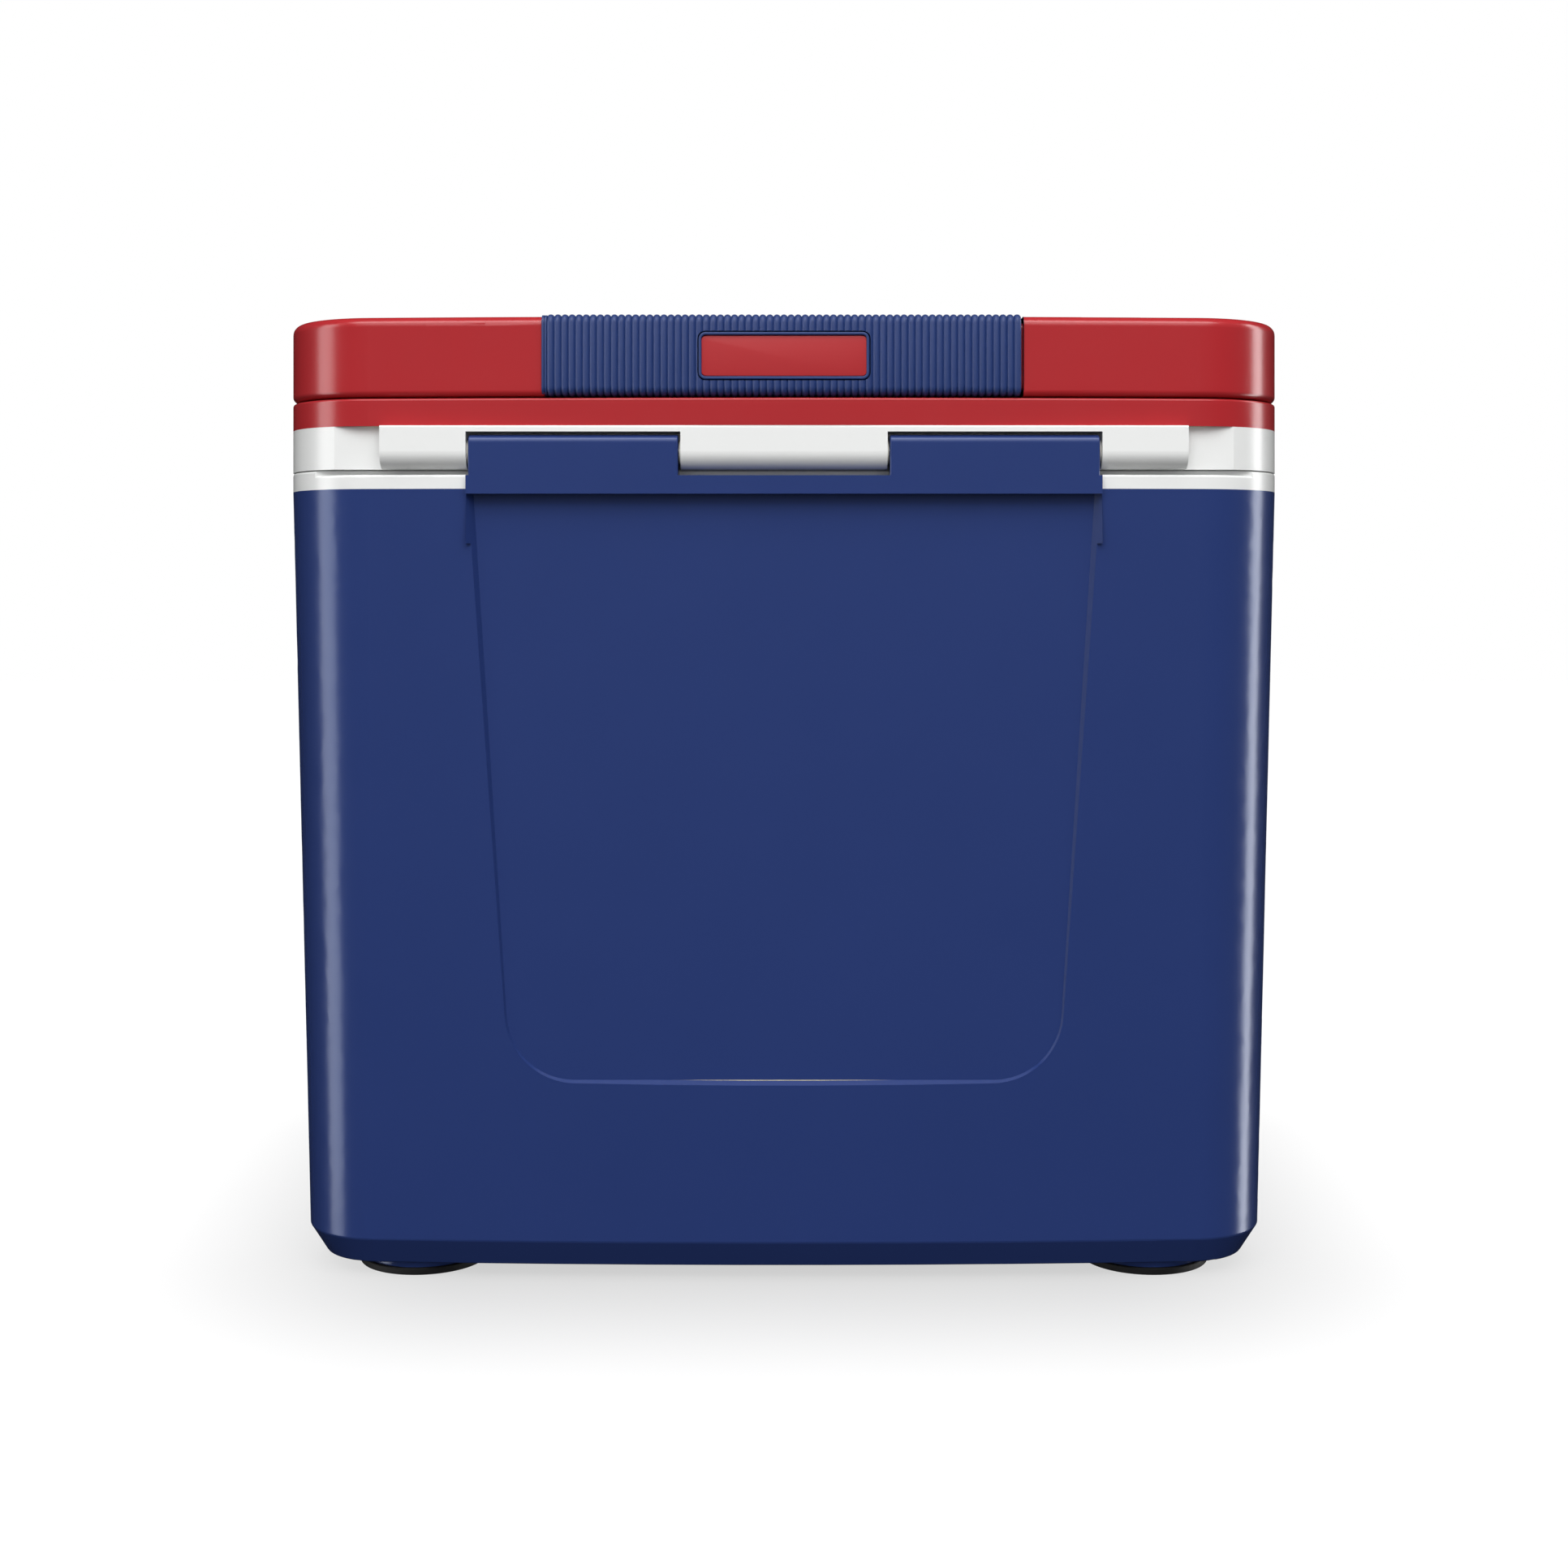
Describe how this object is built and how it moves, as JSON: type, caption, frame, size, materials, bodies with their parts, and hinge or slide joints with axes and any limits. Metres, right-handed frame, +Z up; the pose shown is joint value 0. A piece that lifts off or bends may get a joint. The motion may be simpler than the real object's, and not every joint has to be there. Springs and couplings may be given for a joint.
{
  "type": "cooler chest",
  "caption": "Hard-sided cooler chest: foam-filled tub on rubber feet, hinged lid with seal, and a swinging U-shaped handle that locks the lid when upright.",
  "frame": {"origin": "on the ground under the middle of the chest", "axes": "+Z up, +X along the lid hinge, -Y towards the hinge side, +Y towards the side that opens"},
  "size_m": [0.411, 0.295, 0.3914],
  "materials": {
    "blue_shell": "injection-moulded polypropylene, satin gloss, dark blue",
    "white_trim": "injection-moulded polypropylene, satin, white",
    "white_liner": "smooth food-safe polypropylene, white",
    "red_cover": "injection-moulded polypropylene, satin gloss, red",
    "red_badge": "smooth red plate, unmarked",
    "blue_grip": "soft ribbed elastomer, blue",
    "foot_rubber": "matt black rubber",
    "gasket": "soft grey thermoplastic rubber",
    "nylon": "natural nylon",
    "steel": "zinc-plated and stainless steel",
    "foam": "rigid polyurethane foam, pale yellow"
  },
  "bodies": {
    "chest": {"outer_shell": "blue_shell", "rim_collar": "white_trim", "inner_liner": "white_liner", "body_insulation": "foam", "foam_fill_plug": "blue_shell", "foot_pad_front_left": "foot_rubber", "foot_pad_front_right": "foot_rubber", "foot_pad_rear_left": "foot_rubber", "foot_pad_rear_right": "foot_rubber", "foot_screws": "steel", "latch_catch_left": "steel", "latch_catch_right": "steel", "catch_screws": "steel"},
    "lid": {"lid_cover": "red_cover", "lid_base": "white_trim", "lid_insulation": "foam", "lid_gasket": "gasket", "lid_screws": "steel", "hinge_washers": "nylon", "hinge_pin_left": "steel", "hinge_pin_right": "steel", "pivot_pin_left": "steel", "pivot_pin_right": "steel", "pivot_backing_left": "steel", "pivot_backing_right": "steel"},
    "handle": {"handle_bail": "red_cover", "handle_grip": "blue_grip", "handle_badge": "red_badge", "pivot_bush_left": "nylon", "pivot_bush_right": "nylon", "hub_cap_left": "red_cover", "hub_cap_right": "red_cover"}
  },
  "joints": [
    {"name": "lid_hinge", "type": "hinge", "parent": "chest", "child": "lid", "pos_m": [0, -0.1406, 0.3362], "axis": [1, 0, 0], "range_deg": [0, 95]},
    {"name": "handle_swing", "type": "hinge", "parent": "lid", "child": "handle", "pos_m": [0, 0, 0.3745], "axis": [-1, 0, 0], "range_deg": [0, 90]}
  ]
}
